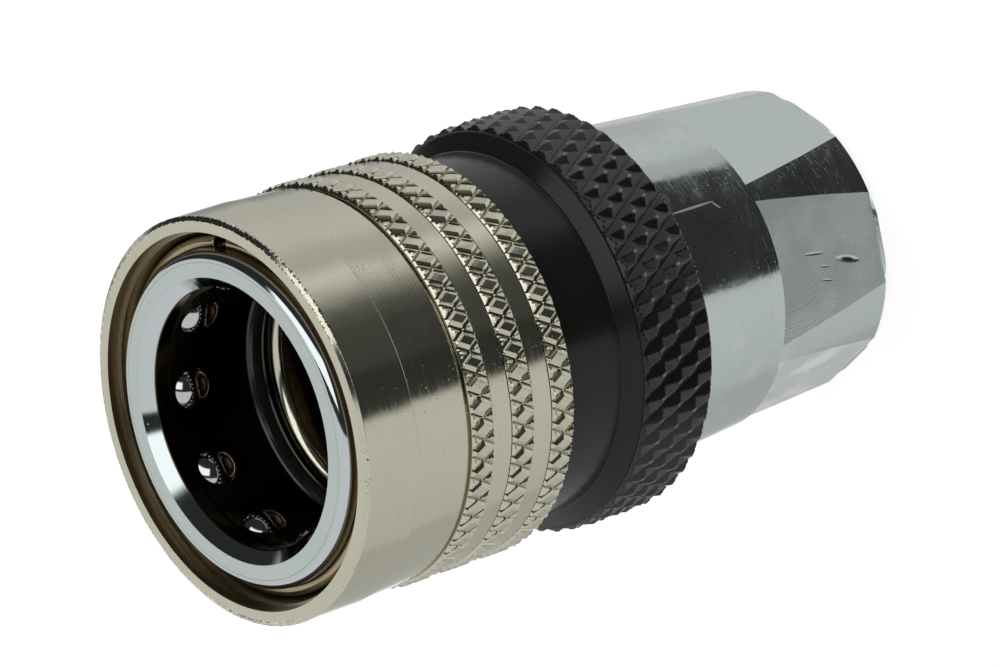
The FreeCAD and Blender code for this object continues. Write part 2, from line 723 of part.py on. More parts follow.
PIECES = [rear_body, socket, *balls, stop_ring, sleeve, spring_washer, sleeve_spring,
          lock_ring, ring_gasket, bore_seal, body_seal, seal_retainer, poppet, poppet_seal,
          guide_clip, valve_guide, valve_spring]

doc.recompute()
for item in doc.Objects:
    if "Invalid" in item.State or "Error" in item.State:
        raise RuntimeError(f"{item.Label} did not build: {item.State}")
for piece in PIECES:
    if piece.Shape.isNull() or not piece.Shape.isValid() or not piece.Shape.Solids:
        raise RuntimeError(f"{piece.Label} has no valid solid")

os.makedirs("parts", exist_ok=True)
for piece in PIECES:
    piece.Shape.exportStep(f"parts/{piece.Label}.step")
    print(piece.Label, len(piece.Shape.Solids), round(piece.Shape.Volume, 2))
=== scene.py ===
import math

import bpy
import numpy as np
from mathutils import Matrix, Vector


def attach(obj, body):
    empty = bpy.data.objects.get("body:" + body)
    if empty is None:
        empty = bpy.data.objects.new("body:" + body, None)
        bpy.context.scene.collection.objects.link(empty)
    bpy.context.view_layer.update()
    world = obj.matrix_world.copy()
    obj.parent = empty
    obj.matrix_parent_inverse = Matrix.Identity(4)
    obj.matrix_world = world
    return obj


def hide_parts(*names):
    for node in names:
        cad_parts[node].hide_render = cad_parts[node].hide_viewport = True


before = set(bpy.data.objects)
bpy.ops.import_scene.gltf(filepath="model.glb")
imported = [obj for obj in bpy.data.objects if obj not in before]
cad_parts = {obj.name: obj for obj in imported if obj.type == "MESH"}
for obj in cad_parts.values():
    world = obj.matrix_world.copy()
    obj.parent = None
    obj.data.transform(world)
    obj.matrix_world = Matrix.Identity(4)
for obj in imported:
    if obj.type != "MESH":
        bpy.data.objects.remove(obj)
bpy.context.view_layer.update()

# Camera: a long lens that looks down on the mouth of the standing coupler.
# It is rolled on its side, so that the axis runs from left to right.
camera_data = bpy.data.cameras.new("camera")
camera_data.lens = 252
camera_data.sensor_width = 36
camera_data.clip_start = 0.01
camera_data.clip_end = 20
camera = bpy.data.objects.new("camera", camera_data)
bpy.context.scene.collection.objects.link(camera)
azimuth = math.radians(11.6348)
elevation = math.radians(37.8615)
roll = math.radians(108.5457)
back = Vector((math.sin(azimuth) * math.cos(elevation),
               -math.cos(azimuth) * math.cos(elevation),
               math.sin(elevation)))
level_right = Vector((0, 0, 1)).cross(back).normalized()
level_up = back.cross(level_right)
picture_up = level_up * math.cos(roll) + level_right * math.sin(roll)
picture_right = picture_up.cross(back)
turn = Matrix((picture_right, picture_up, back)).transposed()
aim = Vector((-0.00011, -0.00002, 0.0354))
distance = 0.63174
camera.matrix_world = Matrix.Translation(aim + back * distance) @ turn.to_4x4()
bpy.context.scene.camera = camera
bpy.context.scene.view_settings.view_transform = "Standard"

# Studio: a white tent all round with a dark camera side, and a window low at the mouth's end.
# The metal shows both in its bands; the camera itself sees plain white.
world = bpy.data.worlds.new("tent")
bpy.context.scene.world = world
world.use_nodes = True
tent = world.node_tree
tent.nodes.clear()


def node(tree, kind, **settings):
    """A new node with its settings."""
    made = tree.nodes.new(kind)
    for name, content in settings.items():
        setattr(made, name, content)
    return made


def wire(tree, term, socket):
    """Link an output to an input socket, or give the input a constant."""
    if isinstance(term, bpy.types.NodeSocket):
        tree.links.new(term, socket)
    else:
        socket.default_value = term


def filled(tree, kind, terms, **settings):
    """A new node whose named inputs get their terms."""
    made = node(tree, kind, **settings)
    for label, term in terms.items():
        wire(tree, term, made.inputs[label])
    return made


def out_of(tree, kind, *terms, **settings):
    """First output of a new node whose inputs get the terms in order."""
    made = node(tree, kind, **settings)
    for socket, term in zip(made.inputs, terms):
        wire(tree, term, socket)
    return made.outputs[0]


def calc(tree, operation, *terms):
    """A Math node's output. With more than two terms the operation goes on from left to right."""
    if len(terms) > 2 and operation != "MULTIPLY_ADD":
        terms = calc(tree, operation, *terms[:-1]), terms[-1]
    return out_of(tree, "ShaderNodeMath", *terms, operation=operation)


def ease(tree, term, start, end):
    """0 before the start and 1 past the end, with a smooth step between; the end may be the lower one."""
    return out_of(tree, "ShaderNodeMapRange", term, start, end, interpolation_type="SMOOTHSTEP")


tent_direction = node(tent, "ShaderNodeTexCoord").outputs["Generated"]
tent_parts = node(tent, "ShaderNodeSeparateXYZ")
wire(tent, tent_direction, tent_parts.inputs[0])
tent_x, tent_y, tent_z = tent_parts.outputs
tent_angle = calc(tent, "ARCTAN2", tent_y, tent_x)
tent_share = calc(tent, "MULTIPLY_ADD", tent_angle, 0.5 / math.pi, 0.5)
tent_walls = node(tent, "ShaderNodeValToRGB")
wire(tent, tent_share, tent_walls.inputs[0])
wall_stops = [(-180, 0.74), (-150, 0.82), (-120, 0.86), (-102, 0.86), (-99, 0.055), (-77, 0.05), (-73, 0.085),
              (-50, 0.10), (-40, 0.18), (-31, 0.50), (-24, 0.85), (-18, 1.0), (-8, 0.68), (2, 0.70), (12, 0.84),
              (28, 0.82), (50, 0.68), (66, 0.62), (74, 0.42), (82, 0.30), (88, 0.40), (94, 0.9), (101, 1.6),
              (112, 1.2), (119, 0.62), (128, 0.53), (150, 0.58), (166, 0.62)]
while len(tent_walls.color_ramp.elements) < len(wall_stops):
    tent_walls.color_ramp.elements.new(0.5)
for stop, (angle, level) in zip(tent_walls.color_ramp.elements, wall_stops):
    stop.position = (angle + 180) / 360
    stop.color = (level, level, level, 1)
# How bright each part of the room is, where the camera's own background is 1
room_light = 0.035
table_light = 0.88
window_light = 1.7
end_light = 0.95
dark_light = 0.042
edge_light = 1.25
soft_light = 0.75
# The coupler lies on a table in this studio: up is across its axis
up_x, up_y = 0.956, -0.292
tent_up = calc(tent, "ADD", calc(tent, "MULTIPLY", tent_x, up_x), calc(tent, "MULTIPLY", tent_y, up_y))
tent_side = calc(tent, "ADD", calc(tent, "MULTIPLY", tent_x, up_y), calc(tent, "MULTIPLY", tent_y, -up_x))
tent_heading = calc(tent, "ARCTAN2", tent_z, tent_side)
tent_table = ease(tent, tent_up, -0.03, -0.07)
tent_window = calc(tent, "MULTIPLY", ease(tent, tent_heading, 0.80, 0.88), ease(tent, tent_heading, 2.10, 1.95),
                   ease(tent, tent_up, 0.12, 0.17), ease(tent, tent_up, 0.64, 0.58))
tent_room = calc(tent, "ADD", calc(tent, "MULTIPLY_ADD", tent_table, table_light, room_light),
                 calc(tent, "MULTIPLY", tent_window, window_light))
tent_end = calc(tent, "MULTIPLY", ease(tent, tent_z, -0.78, -0.92), end_light)
# Past the object's far end the dark side reaches further up and the table's edge is plain
tent_far = ease(tent, tent_z, -0.685, -0.705)
tent_dark = calc(tent, "MULTIPLY", tent_far, ease(tent, tent_angle, -1.77, -1.73),
                 ease(tent, tent_angle, -0.10, -0.20))
tent_edge = calc(tent, "MULTIPLY", tent_far, ease(tent, tent_angle, 1.10, 1.25), ease(tent, tent_angle, 2.3, 2.1))
tent_plain = calc(tent, "MULTIPLY", tent_walls.outputs[0], calc(tent, "SUBTRACT", 1.0, tent_dark, tent_edge))
tent_far_walls = calc(tent, "ADD", tent_plain, calc(tent, "MULTIPLY", tent_dark, dark_light),
                      calc(tent, "MULTIPLY", tent_edge, edge_light))
tent_low = calc(tent, "MAXIMUM", tent_far_walls, tent_end)
tent_high = ease(tent, tent_z, -0.02, 0.12)
tent_level = calc(tent, "ADD", calc(tent, "MULTIPLY", tent_low, calc(tent, "SUBTRACT", 1.0, tent_high)),
                  calc(tent, "MULTIPLY", tent_room, tent_high))
white = (1, 1, 1, 1)
tent_rays = node(tent, "ShaderNodeLightPath").outputs
tent_inner = out_of(tent, "ShaderNodeMixShader", tent_rays["Is Diffuse Ray"],
                    out_of(tent, "ShaderNodeBackground", white, tent_level),
                    out_of(tent, "ShaderNodeBackground", white, soft_light))
tent_outer = out_of(tent, "ShaderNodeMixShader",
                    calc(tent, "MAXIMUM", tent_rays["Is Camera Ray"], tent_rays["Is Transmission Ray"]),
                    tent_inner, out_of(tent, "ShaderNodeBackground", white))
wire(tent, tent_outer, node(tent, "ShaderNodeOutputWorld").inputs["Surface"])

# Lamp: one large soft panel above the object, for a soft shadow on the floor.
# The metal doesn't reflect it.
lamp_data = bpy.data.lights.new("panel", "AREA")
lamp_data.shape = "DISK"
lamp_data.size = 0.9
lamp_data.energy = 3.2
lamp = bpy.data.objects.new("panel", lamp_data)
bpy.context.scene.collection.objects.link(lamp)
lamp_place = Vector((0.35, 0.30, 1.0))
lamp.location = lamp_place
lamp.rotation_euler = lamp_place.to_track_quat("Z", "Y").to_euler()
lamp.visible_glossy = False

# Floor: pale matt paper under the port face, which the tent lights to white.
# Metal reflects the tent in its place.
floor_mesh = bpy.data.meshes.new("floor")
floor_mesh.from_pydata([(-4, -4, 0), (4, -4, 0), (4, 4, 0), (-4, 4, 0)], [], [(0, 1, 2, 3)])
floor = bpy.data.objects.new("floor", floor_mesh)
floor.location.z = -0.00002
bpy.context.scene.collection.objects.link(floor)
paper = bpy.data.materials.new("floor_paper")
paper.use_nodes = True
paper_tree = paper.node_tree
paper_tree.nodes.clear()
paper_rays = node(paper_tree, "ShaderNodeLightPath").outputs
paper_glow = calc(paper_tree, "MULTIPLY", paper_rays["Is Camera Ray"], 0.80)
paper_sum = out_of(paper_tree, "ShaderNodeAddShader",
                   out_of(paper_tree, "ShaderNodeBsdfDiffuse", (0.34, 0.34, 0.34, 1)),
                   out_of(paper_tree, "ShaderNodeEmission", white, paper_glow))
paper_choice = out_of(paper_tree, "ShaderNodeMixShader", paper_rays["Is Glossy Ray"], paper_sum,
                      out_of(paper_tree, "ShaderNodeBsdfTransparent"))
wire(paper_tree, paper_choice, node(paper_tree, "ShaderNodeOutputMaterial").inputs["Surface"])
floor_mesh.materials.append(paper)

# Rear body: a zinc-plated steel taper, turned, with six milled wrench flats.
# Its cutter left fine arcs on the flats, and use has nicked one of them.
mm = 0.001
nearly_straight = math.radians(176)
arc_step = math.radians(11.5)
side_share = 0.42


def softened(corners):
    """Closed outline of (out, up, rounding) in mm; corners become arcs with a point held close on each side."""
    count = len(corners)
    smooth = []
    for number, (out, up, radius) in enumerate(corners):
        spot = np.array((out, up), float)
        before = np.array(corners[number - 1][:2], float) - spot
        after = np.array(corners[(number + 1) % count][:2], float) - spot
        room = min(np.linalg.norm(before), np.linalg.norm(after)) * side_share
        before /= np.linalg.norm(before)
        after /= np.linalg.norm(after)
        bend = math.acos(max(-1.0, min(1.0, float(before @ after))))
        if bend > nearly_straight:
            smooth.append(spot)
            continue
        cut = min(radius / math.tan(bend / 2), room)
        radius = cut * math.tan(bend / 2)
        hub = spot + (before + after) / np.linalg.norm(before + after) * radius / math.sin(bend / 2)
        first = spot + before * cut - hub
        last = spot + after * cut - hub
        hold = min(0.35 * cut, 0.12 * room + 0.01)
        steps = max(2, math.ceil((math.pi - bend) / arc_step))
        smooth.append(spot + before * (cut + hold))
        sweep = math.atan2(first[0] * last[1] - first[1] * last[0], float(first @ last))
        for step in range(steps + 1):
            angle = sweep * step / steps
            smooth.append(hub + np.array((first[0] * math.cos(angle) - first[1] * math.sin(angle),
                                          first[0] * math.sin(angle) + first[1] * math.cos(angle))))
        smooth.append(spot + after * (cut + hold))
    return smooth


def skin(name, grid, closed_rows=True, caps=False):
    """Mesh over a grid of points in mm, rows by columns, turned to face outwards."""
    rows, columns = grid.shape[:2]
    faces = []
    for row in range(rows if closed_rows else rows - 1):
        above = (row + 1) % rows
        for column in range(columns):
            beside = (column + 1) % columns
            faces.append((row * columns + column, row * columns + beside,
                          above * columns + beside, above * columns + column))
    if caps:
        faces.append(tuple(range(columns - 1, -1, -1)))
        faces.append(tuple(range((rows - 1) * columns, rows * columns)))
    points = grid.reshape(-1, 3) * mm
    volume = sum(np.dot(points[f[0]], np.cross(points[f[1]], points[f[2]]) + np.cross(points[f[2]], points[f[-1]]))
                 for f in faces if len(f) == 4)
    if volume < 0:
        faces = [face[::-1] for face in faces]
    mesh = bpy.data.meshes.new(name)
    mesh.from_pydata(points.tolist(), [], faces)
    mesh.polygons.foreach_set("use_smooth", [True] * len(mesh.polygons))
    mesh.set_sharp_from_angle(angle=math.radians(12.5))
    made = bpy.data.objects.new(name, mesh)
    bpy.context.scene.collection.objects.link(made)
    return made


def turned(name, outline, columns=256):
    """Closed outline of (radius, height) in mm, turned about the axis."""
    angles = np.arange(columns) * 2 * math.pi / columns
    spots = np.array([(spot[0], spot[1]) for spot in outline])
    grid = np.empty((len(spots), columns, 3))
    grid[..., 0] = spots[:, :1] * np.cos(angles)
    grid[..., 1] = spots[:, :1] * np.sin(angles)
    grid[..., 2] = spots[:, 1:]
    return skin(name, grid)


def effect(name, inputs, outputs):
    """Shader group with number inputs and number outputs."""
    group = bpy.data.node_groups.new(name, "ShaderNodeTree")
    for label, content in inputs:
        socket = group.interface.new_socket(label, in_out="INPUT", socket_type="NodeSocketFloat")
        socket.default_value = content
    for label in outputs:
        group.interface.new_socket(label, in_out="OUTPUT", socket_type="NodeSocketFloat")
    return group, node(group, "NodeGroupInput").outputs, node(group, "NodeGroupOutput").inputs


def spot_of(tree):
    """The shaded point, in metres."""
    return node(tree, "ShaderNodeTexCoord").outputs["Object"]


def noise(tree, scale, detail, spot=None, distortion=0.0):
    """Noise value at the shaded point, or at a point that a socket gives."""
    return filled(tree, "ShaderNodeTexNoise", {
        "Vector": spot_of(tree) if spot is None else spot, "Scale": scale, "Detail": detail,
        "Distortion": distortion}).outputs[0]


def parts_of(tree, spot):
    """The x, y and z of a point and its distance from the axis."""
    parts = node(tree, "ShaderNodeSeparateXYZ")
    wire(tree, spot, parts.inputs[0])
    x, y, z = parts.outputs
    return x, y, z, calc(tree, "SQRT", calc(tree, "ADD", calc(tree, "MULTIPLY", x, x), calc(tree, "MULTIPLY", y, y)))


# Lathe marks run round the axis on walls and faces alike; Haze is soft clouds.
lathe, lathe_in, lathe_out = effect("lathe_marks", [("Along", 9000.0), ("Around", 60.0)], ["Marks", "Haze"])
lathe_x, lathe_y, lathe_z, lathe_r = parts_of(lathe, spot_of(lathe))
lathe_spot = out_of(lathe, "ShaderNodeCombineXYZ", calc(lathe, "MULTIPLY", lathe_x, lathe_in["Around"]),
                    calc(lathe, "MULTIPLY", lathe_y, lathe_in["Around"]),
                    calc(lathe, "MULTIPLY", calc(lathe, "ADD", lathe_z, lathe_r), lathe_in["Along"]))
wire(lathe, noise(lathe, 1.0, 4.0, lathe_spot), lathe_out["Marks"])
wire(lathe, noise(lathe, 160.0, 5.0), lathe_out["Haze"])

# Pits are small round specks, deep and dull; Share says how many show.
pit_scale = 2600.0
pits, pits_in, pits_out = effect("pits", [("Scale", pit_scale), ("Share", 0.3)], ["Pits"])
pits_cells = filled(pits, "ShaderNodeTexVoronoi", {"Vector": spot_of(pits), "Scale": pits_in["Scale"]})
pits_pick = node(pits, "ShaderNodeSeparateColor")
wire(pits, pits_cells.outputs["Color"], pits_pick.inputs[0])
pits_some = calc(pits, "LESS_THAN", pits_pick.outputs[0], pits_in["Share"])
pits_size = calc(pits, "MULTIPLY_ADD", pits_pick.outputs[1], 0.22, 0.12)
pits_depth = calc(pits, "SUBTRACT", 1.0, calc(pits, "DIVIDE", pits_cells.outputs["Distance"], pits_size))
wire(pits, calc(pits, "MULTIPLY", calc(pits, "MAXIMUM", pits_depth, 0.0), pits_some), pits_out["Pits"])


def place(tree):
    """Distance from the axis and height of the shaded point, in mm."""
    _, _, z, out = parts_of(tree, spot_of(tree))
    return calc(tree, "MULTIPLY", out, 1 / mm), calc(tree, "MULTIPLY", z, 1 / mm)


def measured(tree, operation, first, second):
    """The number that a Vector Math node gives for two vectors."""
    made = node(tree, "ShaderNodeVectorMath", operation=operation)
    wire(tree, first, made.inputs[0])
    wire(tree, second, made.inputs[1])
    return made.outputs["Value"]


def toward(tree, angle):
    """How far out the shaded point lies towards an angle about the axis, in mm."""
    return measured(tree, "DOT_PRODUCT", spot_of(tree), (math.cos(angle) / mm, math.sin(angle) / mm, 0))


def stretched(tree, factors):
    """The shaded point with its coordinates multiplied, for noise in streaks."""
    return out_of(tree, "ShaderNodeVectorMath", spot_of(tree), factors, operation="MULTIPLY")


def apart(tree, term, middle):
    """How far a term is from a middle value."""
    return calc(tree, "ABSOLUTE", calc(tree, "SUBTRACT", term, middle))


def mix(tree, share, first, second, kind="RGBA"):
    """The second colour or number laid over the first by a share."""
    return filled(tree, "ShaderNodeMix", {"Factor": share, "A": first, "B": second}, data_type=kind).outputs["Result"]


def blend(tree, shader, share, colour, dull=None):
    """Lay a second colour, and a second roughness, over what the shader has."""
    base, rough = shader.inputs["Base Color"], shader.inputs["Roughness"]
    wire(tree, mix(tree, share, base.links[0].from_socket, (*colour, 1)), base)
    if dull is not None:
        wire(tree, mix(tree, share, rough.links[0].from_socket, dull, "FLOAT"), rough)


def bump(tree, shader, strength, distance, height):
    """A Bump node on the shader's Normal."""
    made = filled(tree, "ShaderNodeBump", {"Strength": strength, "Distance": distance, "Height": height})
    wire(tree, made.outputs[0], shader.inputs["Normal"])
    return made


def lift(tree, relief, term, factor):
    """Add a term times a factor to the height that a Bump node has."""
    height = relief.inputs["Height"]
    wire(tree, calc(tree, "MULTIPLY_ADD", term, factor, height.links[0].from_socket), height)


def metal(name, colour, dull, metallic=1.0, marks=0.10, marks_height=0.3, along=9000.0, around=60.0,
          haze=0.10, pit_share=0.25, pit_height=0.5, specular=0.5):
    """Metal with lathe marks, haze and pits. Returns the material, its tree, shader and Bump node."""
    made = bpy.data.materials.new(name)
    made.use_nodes = True
    tree = made.node_tree
    tree.nodes.clear()
    shader = filled(tree, "ShaderNodeBsdfPrincipled", {"Metallic": metallic, "Specular IOR Level": specular})
    wire(tree, shader.outputs[0], node(tree, "ShaderNodeOutputMaterial").inputs["Surface"])
    turning = filled(tree, "ShaderNodeGroup", {"Along": along, "Around": around}, node_tree=lathe).outputs
    specks = filled(tree, "ShaderNodeGroup", {"Scale": pit_scale, "Share": pit_share}, node_tree=pits).outputs["Pits"]
    rough = calc(tree, "MULTIPLY_ADD", turning["Marks"], marks, dull - marks / 2)
    rough = calc(tree, "ADD", rough, calc(tree, "MULTIPLY_ADD", turning["Haze"], haze, -haze / 2))
    wire(tree, calc(tree, "MULTIPLY_ADD", specks, 0.25, rough), shader.inputs["Roughness"])
    tone_share = calc(tree, "MULTIPLY_ADD", turning["Marks"], 0.6, calc(tree, "MULTIPLY", turning["Haze"], 0.4))
    tone = mix(tree, tone_share, (*[part * 0.9 for part in colour], 1),
               (*[min(1.0, part * 1.08) for part in colour], 1))
    wire(tree, tone, shader.inputs["Base Color"])
    blend(tree, shader, calc(tree, "MULTIPLY", specks, 0.5), [part * 0.35 for part in colour])
    height = calc(tree, "SUBTRACT", calc(tree, "MULTIPLY", turning["Marks"], marks_height),
                  calc(tree, "MULTIPLY", specks, pit_height))
    return made, tree, shader, bump(tree, shader, 0.5, 0.00002, height)


def nick(tree, centre, along, half_length, half_width, half_depth=1.0):
    """1 in the middle of a short cut on a surface that faces y, and 0 outside it; sizes in mm."""
    step = out_of(tree, "ShaderNodeVectorMath", spot_of(tree), [part * mm for part in centre], operation="SUBTRACT")
    way = Vector(along).normalized()
    inward = Vector((0, 1, 0))
    spans = []
    for direction, half in ((way, half_length), (way.cross(inward), half_width), (inward, half_depth)):
        span = measured(tree, "DOT_PRODUCT", step, direction / (half * mm))
        spans.append(calc(tree, "MULTIPLY", span, span))
    return calc(tree, "MAXIMUM", calc(tree, "SUBTRACT", 1.0, calc(tree, "ADD", *spans)), 0.0)


zinc, zinc_tree, zinc_shader, zinc_relief = metal(
    "zinc", (0.47, 0.525, 0.50), 0.12, marks=0.12, marks_height=0.25, around=120.0, haze=0.16, pit_share=0.12)
# Soft clouds in the plating bend the reflections
zinc_cloud = noise(zinc_tree, 240.0, 3.0)
lift(zinc_tree, zinc_relief, zinc_cloud, 6.0)
blend(zinc_tree, zinc_shader, calc(zinc_tree, "MULTIPLY", ease(zinc_tree, zinc_cloud, 0.5, 0.75), 0.6),
      (0.56, 0.60, 0.58))
# Fine scuffs run round the rear end, from the flats to the foot of the cone
zinc_r, zinc_z = place(zinc_tree)
scuff_hairs = noise(zinc_tree, 1.0, 3.0, stretched(zinc_tree, (900.0, 900.0, 6500.0)), distortion=1.2)
scuff_share = calc(zinc_tree, "MULTIPLY", ease(zinc_tree, scuff_hairs, 0.56, 0.70),
                   ease(zinc_tree, zinc_z, 19.0, 15.5), ease(zinc_tree, zinc_z, 0.5, 3.0), 0.5)
blend(zinc_tree, zinc_shader, scuff_share, (0.60, 0.62, 0.60), 0.42)
# Painted light: the side away from the window is painted pale and matt
painted_light_angle = 0.14
painted_light_side = ease(zinc_tree, calc(zinc_tree, "DIVIDE", toward(zinc_tree, painted_light_angle), zinc_r), 0.94, 0.985)
blend(zinc_tree, zinc_shader, painted_light_side, (0.92, 0.93, 0.92), 0.60)
# One long scratch on the cone beside the ring, bent at its end
scratch = calc(zinc_tree, "MAXIMUM", nick(zinc_tree, (7.98, -13.35, 21.6), (0.02, 0, 1), 2.9, 0.11),
               nick(zinc_tree, (7.55, -13.4, 18.8), (1.0, 0, 0.9), 0.55, 0.11))
blend(zinc_tree, zinc_shader, ease(zinc_tree, scratch, 0.0, 0.35), (0.62, 0.64, 0.63), 0.55)

flat_r = 13.5
milled, milled_tree, milled_shader, milled_relief = metal(
    "milled_zinc", (0.50, 0.56, 0.54), 0.24, marks=0.06, marks_height=0.0, pit_share=0.10)
# Cutter arcs on the far half of a flat, straight brush lines on the half by the corner
cutter_centre = (0.0059, -0.0135, 0.0127)
milled_reach = measured(milled_tree, "DISTANCE", spot_of(milled_tree), cutter_centre)
milled_arcs = filled(milled_tree, "ShaderNodeTexNoise", {"W": milled_reach, "Scale": 8000.0, "Detail": 2.0},
                     noise_dimensions="1D").outputs[0]
milled_brush = noise(milled_tree, 1.0, 3.0, stretched(milled_tree, (260.0, 260.0, 5200.0)))
milled_far = ease(milled_tree, milled_reach, 0.0078, 0.0098)
milled_near = calc(milled_tree, "SUBTRACT", 0.7, calc(milled_tree, "MULTIPLY", milled_far, 0.6))
milled_lines = calc(milled_tree, "ADD", calc(milled_tree, "MULTIPLY", milled_arcs, milled_far),
                    calc(milled_tree, "MULTIPLY", milled_brush, milled_near))
# Four nicks on the front flat: centre, way, half length, half width and depth
milled_nicks = 0.0
for centre, along, half_length, half_width, depth in (
        ((-1.02, -13.5, 4.63), (-0.29, 0, -1), 1.5, 0.36, 17.0), ((0.43, -13.5, 8.5), (-0.15, 0, -1), 1.2, 0.16, 5.0),
        ((-1.0, -13.5, 7.45), (-0.25, 0, -1), 0.6, 0.13, 4.0), ((-2.28, -13.5, 7.5), (-0.3, 0, -1), 0.7, 0.13, 4.0)):
    milled_nicks = calc(milled_tree, "MULTIPLY_ADD", nick(milled_tree, centre, along, half_length, half_width),
                        depth, milled_nicks)
wire(milled_tree, calc(milled_tree, "SUBTRACT", milled_lines, milled_nicks), milled_relief.inputs["Height"])
milled_relief.inputs["Strength"].default_value = 0.30
# Painted shade: the deepest middle of each nick is painted dark
blend(milled_tree, milled_shader, ease(milled_tree, milled_nicks, 10.5, 15.0), (0.05, 0.05, 0.05))
# Painted light and shade: the two flats that the light meets are each painted their own tone, with soft clouds
painted_light_mottle = ease(milled_tree, noise(milled_tree, 210.0, 3.0), 0.40, 0.64)
milled_clear = calc(milled_tree, "SUBTRACT", 1.0, ease(milled_tree, milled_nicks, 2.0, 6.0))
for flat_angle, painted_light_tone, painted_light_cloud_tone in ((-90, (0.42, 0.475, 0.46), (0.50, 0.55, 0.54)),
                                      (-150, (0.68, 0.73, 0.71), (0.95, 0.99, 0.97))):
    painted_light_flat = calc(milled_tree, "MULTIPLY", milled_clear, ease(
        milled_tree, toward(milled_tree, math.radians(flat_angle)), flat_r - 0.10, flat_r - 0.05))
    blend(milled_tree, milled_shader, painted_light_flat, painted_light_tone)
    blend(milled_tree, milled_shader, calc(milled_tree, "MULTIPLY", painted_light_flat, painted_light_mottle), painted_light_cloud_tone)

# Painted shade: the chamber inside the rear body is painted near-black brown, for the shade deep inside it
chamber = metal("chamber_steel", (0.045, 0.017, 0.006), 0.34, pit_share=0.1)[0]

cone_slope = 0.0693
cone_foot_r = 15.1
flats_top = 14.2


def cone(height):
    """Radius of the rear body's cone at a height, in mm."""
    return cone_foot_r + (height - flats_top) * cone_slope


# Each outline point is (cone radius, height, is it cut by the flats)
rear_outline = []
for height, cut in [(0.5, True), (0.75, True), (6.0, True), (12.0, True), (14.12, True), (14.2, True),
                    (14.2, False), (14.24, False), (14.35, False), (16.0, False), (20.0, False), (24.0, False),
                    (28.0, False), (30.0, False)]:
    rear_outline.append((cone(height), height, cut))
rear_outline += [(13.95, 30.0, False), (13.95, 51.44, False), (10.9, 51.44, False), (10.9, 45.9, False),
                 (7.45, 45.9, False), (7.45, 44.8, False), (9.15, 43.1, False), (9.15, 19.96, False),
                 (9.95, 19.96, False), (9.95, 18.8, False), (9.15, 18.8, False), (9.15, 15.0, False),
                 (9.316, 15.0, False), (9.316, 1.584, False), (10.9, 0.0, False), (cone(0.5) - 0.5, 0.0, True)]
flat_columns = 16
arc_columns = 14
rear_grid = []
for radius, height, cut in rear_outline:
    edge = math.acos(min(1.0, flat_r / max(cone(min(max(height, 0.5), flats_top)), flat_r)))
    ring = []
    for side in range(6):
        middle = math.radians(-150 + 60 * side)
        for column in range(flat_columns + arc_columns):
            if column < flat_columns:
                angle = -edge + 2 * edge * column / flat_columns
                reach = min(radius, flat_r / math.cos(angle)) if cut else radius
            else:
                angle = edge + (math.pi / 3 - 2 * edge) * (column - flat_columns) / arc_columns
                reach = radius
            ring.append((reach * math.cos(middle + angle), reach * math.sin(middle + angle), height))
    rear_grid.append(ring)
rear = skin("rear_body_metal", np.array(rear_grid))
rear.data.materials.append(zinc)
rear.data.materials.append(milled)
rear.data.materials.append(chamber)
chamber_r = 10.85
chamber_foot = 15.0
for face in rear.data.polygons:
    middle = face.center / mm
    flat_way = face.normal.xy.dot(middle.xy)
    if abs(face.normal.z) < 0.05 and 0.4 < middle.z < flats_top - 0.01 and abs(flat_way - flat_r) < 0.02:
        face.material_index = 1
    elif math.hypot(middle.x, middle.y) < chamber_r and middle.z > chamber_foot:
        face.material_index = 2
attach(rear, "body")
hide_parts("rear_body")

# Inner parts: the poppet, its guide and circlip, both springs and the washer.
# They are plain turned, stamped or wound steel and keep their CAD shape.
# Painted shade: the poppet and its guide are painted near-black brown, for the shade deep in the bore
steel = metal("valve_steel", (0.10, 0.058, 0.036), 0.32, pit_share=0.2)[0]
spring_wire = metal("spring_wire", (0.38, 0.37, 0.36), 0.3, along=3000.0, pit_share=0.1)[0]


def dress(piece_names, finish):
    """Give CAD pieces a material of their own."""
    for piece_name in piece_names:
        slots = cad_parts[piece_name].data.materials
        slots.clear()
        slots.append(finish)


dress(["poppet", "valve_guide"], steel)
dress(["valve_spring", "sleeve_spring", "guide_clip", "spring_washer"], spring_wire)

# Socket: the turned inner body with the plug bore and the ball cage.
# Its plated end face is pale, the lead-in is polished and the bore is darkened.
socket_zinc, socket_tree, socket_shader, socket_relief = metal(
    "socket_zinc", (0.475, 0.53, 0.512), 0.20, marks=0.10, marks_height=0.20, haze=0.06, pit_share=0.04)
socket_r, socket_z = place(socket_tree)
socket_slopes = calc(socket_tree, "MAXIMUM", ease(socket_tree, socket_r, 13.08, 13.02),
                     ease(socket_tree, socket_r, 14.72, 14.78))
blend(socket_tree, socket_shader, socket_slopes, (0.50, 0.54, 0.55), 0.07)
# A fine dark line runs round the end face; the bore is darkened and the stop ring's groove brown
socket_line = calc(socket_tree, "MULTIPLY", ease(socket_tree, apart(socket_tree, socket_r, 14.42), 0.06, 0.02),
                   ease(socket_tree, socket_z, 66.6, 66.68), 0.45)
blend(socket_tree, socket_shader, socket_line, (0.16, 0.18, 0.19))
socket_inside = calc(socket_tree, "MAXIMUM", ease(socket_tree, socket_r, 12.06, 12.0), calc(
    socket_tree, "MULTIPLY", ease(socket_tree, socket_z, 65.5, 65.3), ease(socket_tree, socket_r, 14.95, 14.85)))
socket_groove = calc(socket_tree, "MULTIPLY", ease(socket_tree, socket_z, 66.0, 65.9),
                     ease(socket_tree, socket_r, 14.85, 14.95))
blend(socket_tree, socket_shader, socket_groove, (0.34, 0.29, 0.21), 0.30)
blend(socket_tree, socket_shader, socket_inside, (0.055, 0.046, 0.030), 0.20)
# The outer edge is broken to a round, which the flat bevel of the mesh gets from its shading
socket_bevel = calc(socket_tree, "MINIMUM", calc(
    socket_tree, "DIVIDE", apart(socket_tree, socket_r, 15.075), 0.325), 1.0)
lift(socket_tree, socket_relief, calc(socket_tree, "MULTIPLY", socket_bevel, socket_bevel), -9.0)
dress(["socket"], socket_zinc)

